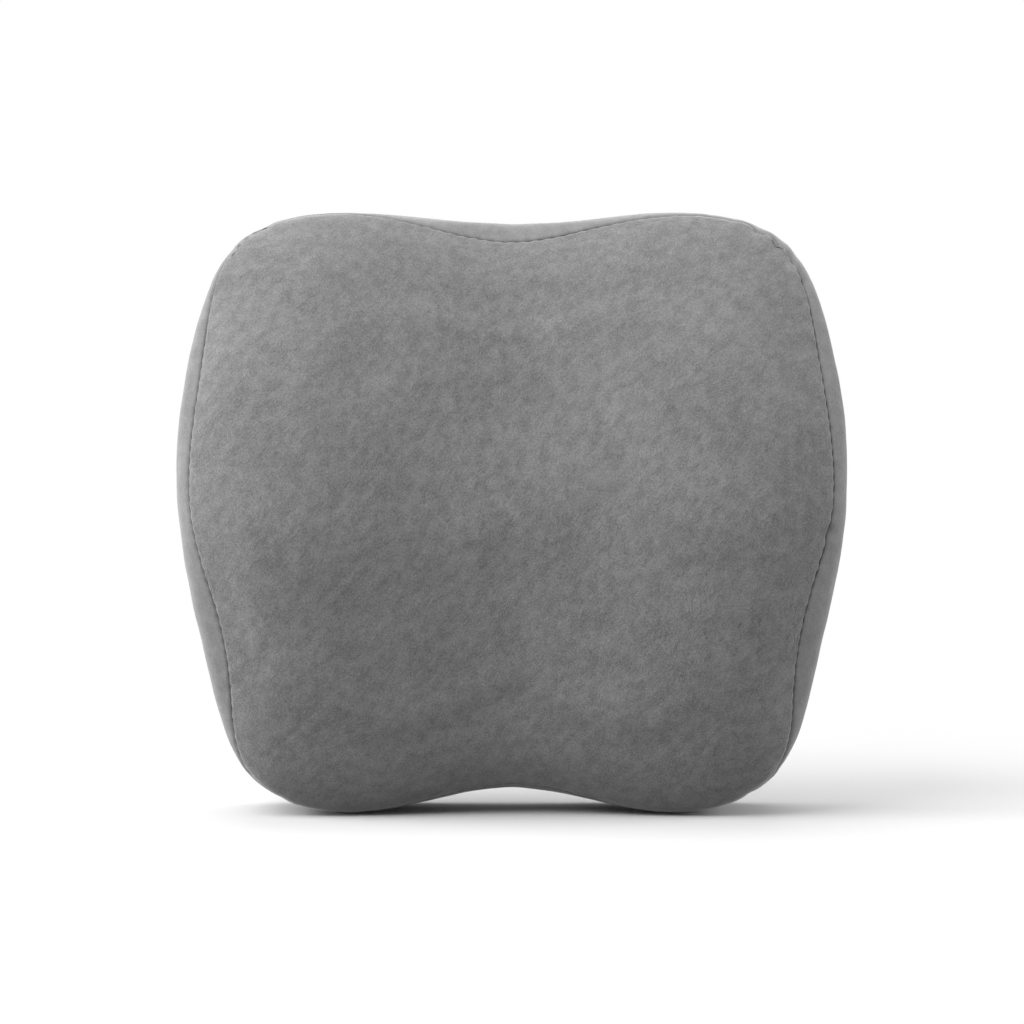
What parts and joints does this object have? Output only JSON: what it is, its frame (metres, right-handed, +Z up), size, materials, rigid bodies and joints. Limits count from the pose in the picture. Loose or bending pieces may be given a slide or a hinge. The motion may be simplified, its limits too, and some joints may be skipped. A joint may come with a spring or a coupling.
{
  "type": "lumbar support cushion",
  "caption": "Saddle-shaped foam back cushion with two lobes above and below, in a zipped pile-fabric cover, held to a chair back by a buckled strap.",
  "frame": {"origin": "middle of the base of the whole object's box, with the cushion standing on its two lower lobes as it does against a chair back", "axes": "+X to the right seen from the front, -Y the front face that a back leans on, +Y the back with the strap and zip, +Z up"},
  "size_m": [0.35, 0.1254, 0.321],
  "materials": {
    "foam": "slow-rise polyurethane foam, open cell",
    "liner": "thin white knitted sleeve",
    "pile": "short grey pile with a slanting nap",
    "gusset_pile": "short grey pile, nap lying along the band",
    "back_cloth": "grey spacer mesh cloth",
    "zip_tape": "woven zip tape",
    "zip_coil": "moulded monofilament coil",
    "zip_metal": "nickel-plated die casting",
    "webbing": "black woven webbing",
    "elastic": "black knitted elastic",
    "buckle": "fine-textured black acetal",
    "label": "blank white satin tape"
  },
  "bodies": {
    "cushion": {"foam_core": "foam", "liner_front": "liner", "liner_back": "liner", "cover_front_panel": "pile", "cover_gusset": "gusset_pile", "back_panel_upper": "back_cloth", "back_panel_lower": "back_cloth", "zip_tape_upper": "zip_tape", "zip_tape_lower": "zip_tape", "zip_coil_upper": "zip_coil", "zip_coil_lower": "zip_coil", "zip_top_stop_upper": "zip_metal", "zip_top_stop_lower": "zip_metal", "zip_bottom_stop": "zip_metal", "strap_fixed": "webbing", "strap_adjustable": "webbing", "buckle_socket": "buckle", "care_label": "label"},
    "slider": {"zip_slider": "zip_metal"},
    "pull_tab": {"zip_pull_tab": "zip_metal"},
    "plug": {"buckle_plug": "buckle", "strap_tail": "webbing"},
    "arm_upper": {"latch_arm_upper": "buckle"},
    "arm_lower": {"latch_arm_lower": "buckle"},
    "keeper": {"strap_keeper": "elastic"}
  },
  "joints": [
    {"name": "zip_travel", "type": "slide", "parent": "cushion", "child": "slider", "axis": [-1, 0, 0], "range_m": [0, 0.254]},
    {"name": "pull_tab_swing", "type": "hinge", "parent": "slider", "child": "pull_tab", "pos_m": [0.12702, 0.0541, 0.075], "axis": [0, 0, -1], "range_deg": [0, 175]},
    {"name": "buckle_release", "type": "slide", "parent": "cushion", "child": "plug", "axis": [-1, 0, 0], "range_m": [0, 0.026], "deforming": ["strap_adjustable", "latch_arm_upper", "latch_arm_lower"]},
    {"name": "latch_upper_press", "type": "hinge", "parent": "plug", "child": "arm_upper", "pos_m": [0.0015, 0.0572, 0.1792], "axis": [0, 1, 0], "range_deg": [0, 16], "stiffness_Nm_per_rad": 0.02, "springref_deg": -5.73},
    {"name": "latch_lower_press", "type": "hinge", "parent": "plug", "child": "arm_lower", "pos_m": [0.0015, 0.0572, 0.1508], "axis": [0, -1, 0], "range_deg": [0, 16], "stiffness_Nm_per_rad": 0.02, "springref_deg": -5.73},
    {"name": "keeper_slide", "type": "slide", "parent": "cushion", "child": "keeper", "axis": [-1, 0, 0], "range_m": [0, 0.02]}
  ]
}
